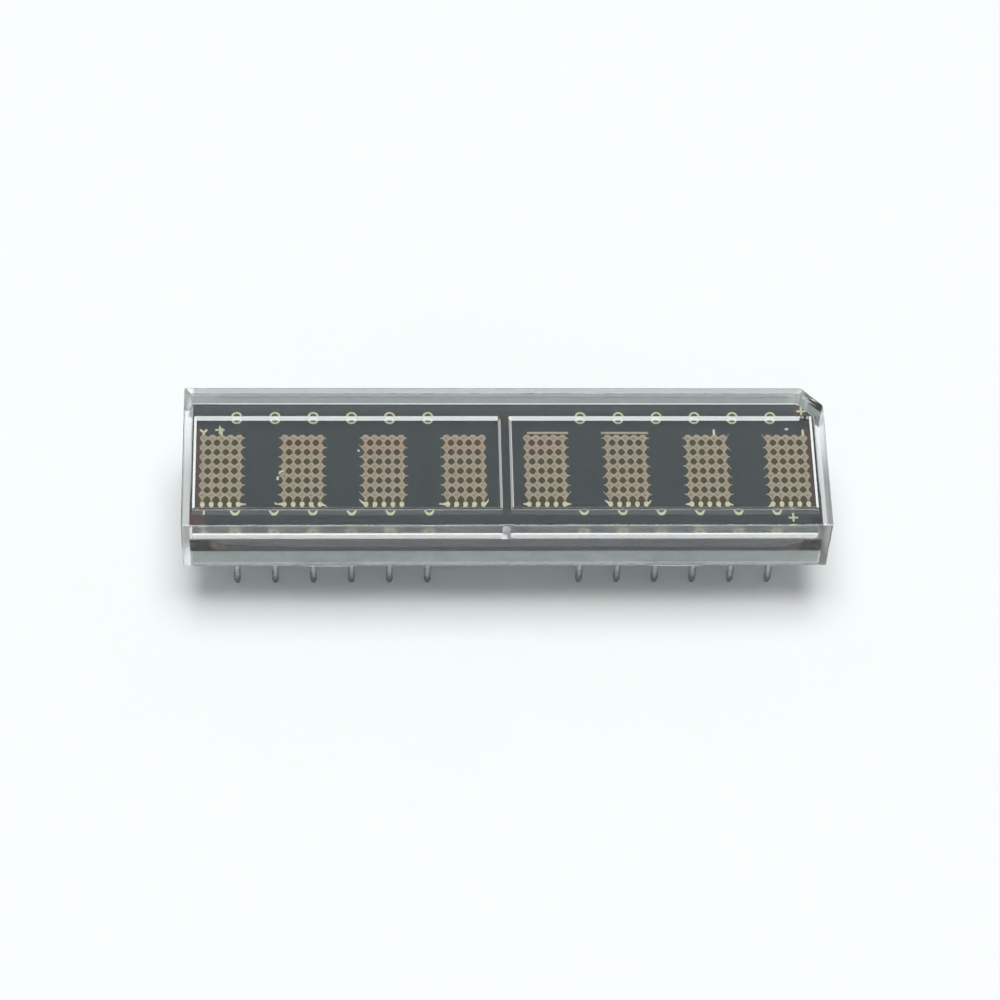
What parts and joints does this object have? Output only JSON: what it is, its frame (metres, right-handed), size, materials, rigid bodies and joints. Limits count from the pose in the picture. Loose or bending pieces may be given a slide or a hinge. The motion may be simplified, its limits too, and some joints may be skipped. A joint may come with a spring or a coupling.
{
  "type": "dot matrix led display",
  "caption": "Slim alphanumeric display module: a row of dot matrix LED characters under a clear cap, on two rows of straight pins.",
  "frame": {"origin": "on the surface that the pin tips stand on, below the middle of the body", "axes": "+X along the line of characters, +Y towards the edge with the cut-off corner, +Z out of the display face"},
  "size_m": [0.0426, 0.0112, 0.0094],
  "materials": {
    "clear_plastic": "clear moulded plastic, glossy",
    "board": "dark grey green circuit board",
    "gold_foil": "dull gold foil",
    "gold_plating": "bright gold plating",
    "led_chip": "small semiconductor chips",
    "potting": "grey potting resin",
    "silicon": "bare silicon",
    "pin_metal": "tinned, slightly dull"
  },
  "bodies": {
    "root": {"alignment_crosses": "gold_foil", "circuit_board": "board", "column_pads_1": "gold_plating", "column_pads_2": "gold_plating", "column_pads_3": "gold_plating", "column_pads_4": "gold_plating", "column_pads_5": "gold_plating", "column_pads_6": "gold_plating", "column_pads_7": "gold_plating", "column_pads_8": "gold_plating", "driver_chip_left": "silicon", "driver_chip_right": "silicon", "led_chips_1": "led_chip", "led_chips_2": "led_chip", "led_chips_3": "led_chip", "led_chips_4": "led_chip", "led_chips_5": "led_chip", "led_chips_6": "led_chip", "led_chips_7": "led_chip", "led_chips_8": "led_chip", "lens_cover": "clear_plastic", "pin_01": "pin_metal", "pin_02": "pin_metal", "pin_03": "pin_metal", "pin_04": "pin_metal", "pin_05": "pin_metal", "pin_06": "pin_metal", "pin_10": "pin_metal", "pin_11": "pin_metal", "pin_12": "pin_metal", "pin_13": "pin_metal", "pin_14": "pin_metal", "pin_15": "pin_metal", "pin_16": "pin_metal", "pin_17": "pin_metal", "pin_18": "pin_metal", "pin_19": "pin_metal", "pin_20": "pin_metal", "pin_21": "pin_metal", "pin_25": "pin_metal", "pin_26": "pin_metal", "pin_27": "pin_metal", "pin_28": "pin_metal", "pin_29": "pin_metal", "pin_30": "pin_metal", "potting": "potting", "ring_pads_far": "gold_foil", "ring_pads_near": "gold_foil", "row_pads_1": "gold_foil", "row_pads_2": "gold_foil", "row_pads_3": "gold_foil", "row_pads_4": "gold_foil", "row_pads_5": "gold_foil", "row_pads_6": "gold_foil", "row_pads_7": "gold_foil", "row_pads_8": "gold_foil", "trace_bars": "gold_foil"}
  },
  "joints": []
}
